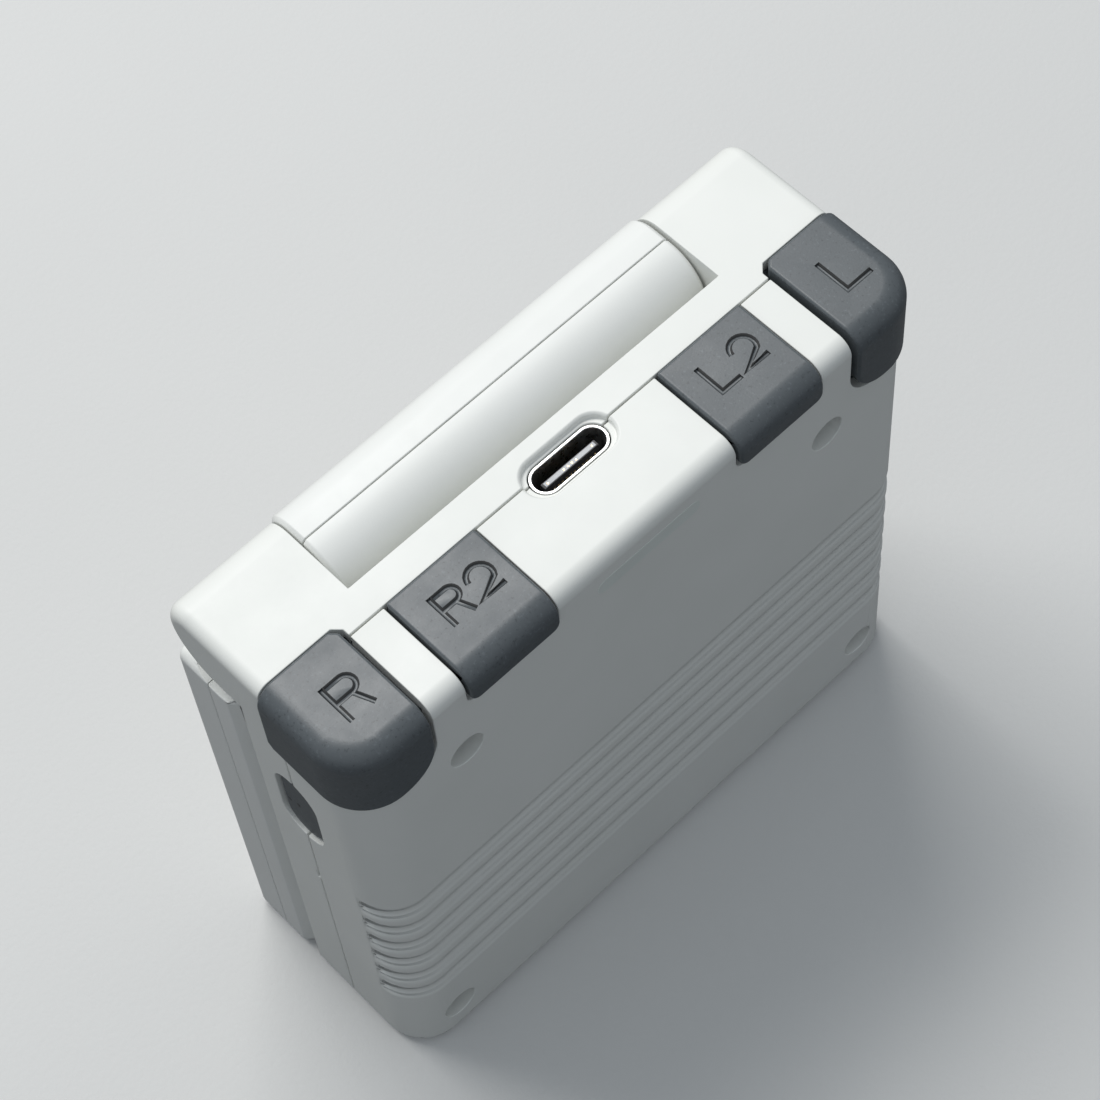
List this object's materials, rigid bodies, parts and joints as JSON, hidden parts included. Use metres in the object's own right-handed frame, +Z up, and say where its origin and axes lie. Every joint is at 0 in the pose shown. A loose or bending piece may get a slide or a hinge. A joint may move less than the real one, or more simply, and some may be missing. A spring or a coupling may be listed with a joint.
{
  "type": "clamshell handheld game console",
  "caption": "Pocket game console that folds shut: a lid with a screen on a friction hinge, a control face beneath it, shoulder buttons and a charging socket in the hinge edge.",
  "frame": {"origin": "middle of the outline on the surface that the closed console stands on, under its front edge", "axes": "+X towards the L side (a player's left when it is open), +Y towards the outside of the lid, +Z up towards the hinge edge"},
  "size_m": [0.072, 0.0262, 0.068],
  "materials": {
    "shell": "fine satin moulding",
    "lid": "fine satin moulding",
    "button_grey": "fine spark-eroded texture",
    "key_grey": "semi-gloss",
    "socket_metal": "bright plated steel",
    "steel": "turned",
    "black_plastic": "moulded",
    "board_green": "solder resist",
    "battery_wrap": "foil pouch",
    "rubber": "silicone",
    "lens": "polished, black behind",
    "panel": "display, off"
  },
  "bodies": {
    "base": {"rear_shell": "shell", "front_shell": "shell", "main_board": "board_green", "battery": "battery_wrap", "usb_shell": "socket_metal", "usb_tongue": "black_plastic", "case_screws": "steel", "speaker": "black_plastic", "dpad_mat": "rubber", "button_mat": "rubber", "small_mats": "rubber", "shoulder_switches": "black_plastic", "side_switches": "black_plastic", "card_socket": "steel", "shield_can": "steel", "hinge_cartridge": "steel"},
    "lid": {"lid_cover": "lid", "lid_bezel": "lid", "display_panel": "panel", "screen_lens": "lens", "lid_bumpers": "rubber", "hinge_pin": "steel", "hinge_shaft": "steel"},
    "l_button_body": {"l_button": "button_grey"},
    "r_button_body": {"r_button": "button_grey"},
    "l2_button_body": {"l2_button": "button_grey"},
    "r2_button_body": {"r2_button": "button_grey"},
    "power_button_body": {"power_button": "button_grey"},
    "volume_rocker_body": {"volume_rocker": "button_grey"},
    "dpad_body": {"dpad": "key_grey"},
    "dpad_pivot_body": {"dpad_pivot": "steel"},
    "a_button_body": {"a_button": "key_grey"},
    "b_button_body": {"b_button": "key_grey"},
    "x_button_body": {"x_button": "key_grey"},
    "y_button_body": {"y_button": "key_grey"},
    "start_button_body": {"start_button": "key_grey"},
    "select_button_body": {"select_button": "key_grey"},
    "menu_button_body": {"menu_button": "key_grey"}
  },
  "joints": [
    {"name": "lid_hinge", "type": "hinge", "parent": "base", "child": "lid", "pos_m": [0, 0.00745, 0.06265], "axis": [1, 0, 0], "range_deg": [0, 165]},
    {"name": "l_press", "type": "slide", "parent": "base", "child": "l_button_body", "axis": [0, 0, -1], "range_m": [0, 0.0005], "stiffness_N_per_m": 600, "springref_m": -0.0004},
    {"name": "r_press", "type": "slide", "parent": "base", "child": "r_button_body", "axis": [0, 0, -1], "range_m": [0, 0.0005], "stiffness_N_per_m": 600, "springref_m": -0.0004},
    {"name": "l2_press", "type": "slide", "parent": "base", "child": "l2_button_body", "axis": [0, 0, -1], "range_m": [0, 0.0005], "stiffness_N_per_m": 600, "springref_m": -0.0004},
    {"name": "r2_press", "type": "slide", "parent": "base", "child": "r2_button_body", "axis": [0, 0, -1], "range_m": [0, 0.0005], "stiffness_N_per_m": 600, "springref_m": -0.0004},
    {"name": "power_press", "type": "slide", "parent": "base", "child": "power_button_body", "axis": [1, 0, 0], "range_m": [0, 0.0005], "stiffness_N_per_m": 500, "springref_m": -0.0003},
    {"name": "volume_rock", "type": "hinge", "parent": "base", "child": "volume_rocker_body", "pos_m": [0.0336, -0.00195, 0.04575], "axis": [0, 1, 0], "range_deg": [-2, 2], "stiffness_Nm_per_rad": 0.1},
    {"name": "dpad_tilt_up_down", "type": "hinge", "parent": "base", "child": "dpad_pivot_body", "pos_m": [0.0205, 0.001, 0.037], "axis": [1, 0, 0], "range_deg": [-3.5, 3.5], "stiffness_Nm_per_rad": 0.15},
    {"name": "dpad_tilt_left_right", "type": "hinge", "parent": "dpad_pivot_body", "child": "dpad_body", "pos_m": [0.0205, 0.001, 0.037], "axis": [0, 0, 1], "range_deg": [-3.5, 3.5], "stiffness_Nm_per_rad": 0.15},
    {"name": "a_press", "type": "slide", "parent": "base", "child": "a_button_body", "axis": [0, -1, 0], "range_m": [0, 0.0006], "stiffness_N_per_m": 500, "springref_m": -0.0003},
    {"name": "b_press", "type": "slide", "parent": "base", "child": "b_button_body", "axis": [0, -1, 0], "range_m": [0, 0.0006], "stiffness_N_per_m": 500, "springref_m": -0.0003},
    {"name": "x_press", "type": "slide", "parent": "base", "child": "x_button_body", "axis": [0, -1, 0], "range_m": [0, 0.0006], "stiffness_N_per_m": 500, "springref_m": -0.0003},
    {"name": "y_press", "type": "slide", "parent": "base", "child": "y_button_body", "axis": [0, -1, 0], "range_m": [0, 0.0006], "stiffness_N_per_m": 500, "springref_m": -0.0003},
    {"name": "start_press", "type": "slide", "parent": "base", "child": "start_button_body", "axis": [0, -1, 0], "range_m": [0, 0.0006], "stiffness_N_per_m": 500, "springref_m": -0.0003},
    {"name": "select_press", "type": "slide", "parent": "base", "child": "select_button_body", "axis": [0, -1, 0], "range_m": [0, 0.0006], "stiffness_N_per_m": 500, "springref_m": -0.0003},
    {"name": "menu_press", "type": "slide", "parent": "base", "child": "menu_button_body", "axis": [0, -1, 0], "range_m": [0, 0.0006], "stiffness_N_per_m": 500, "springref_m": -0.0003}
  ]
}
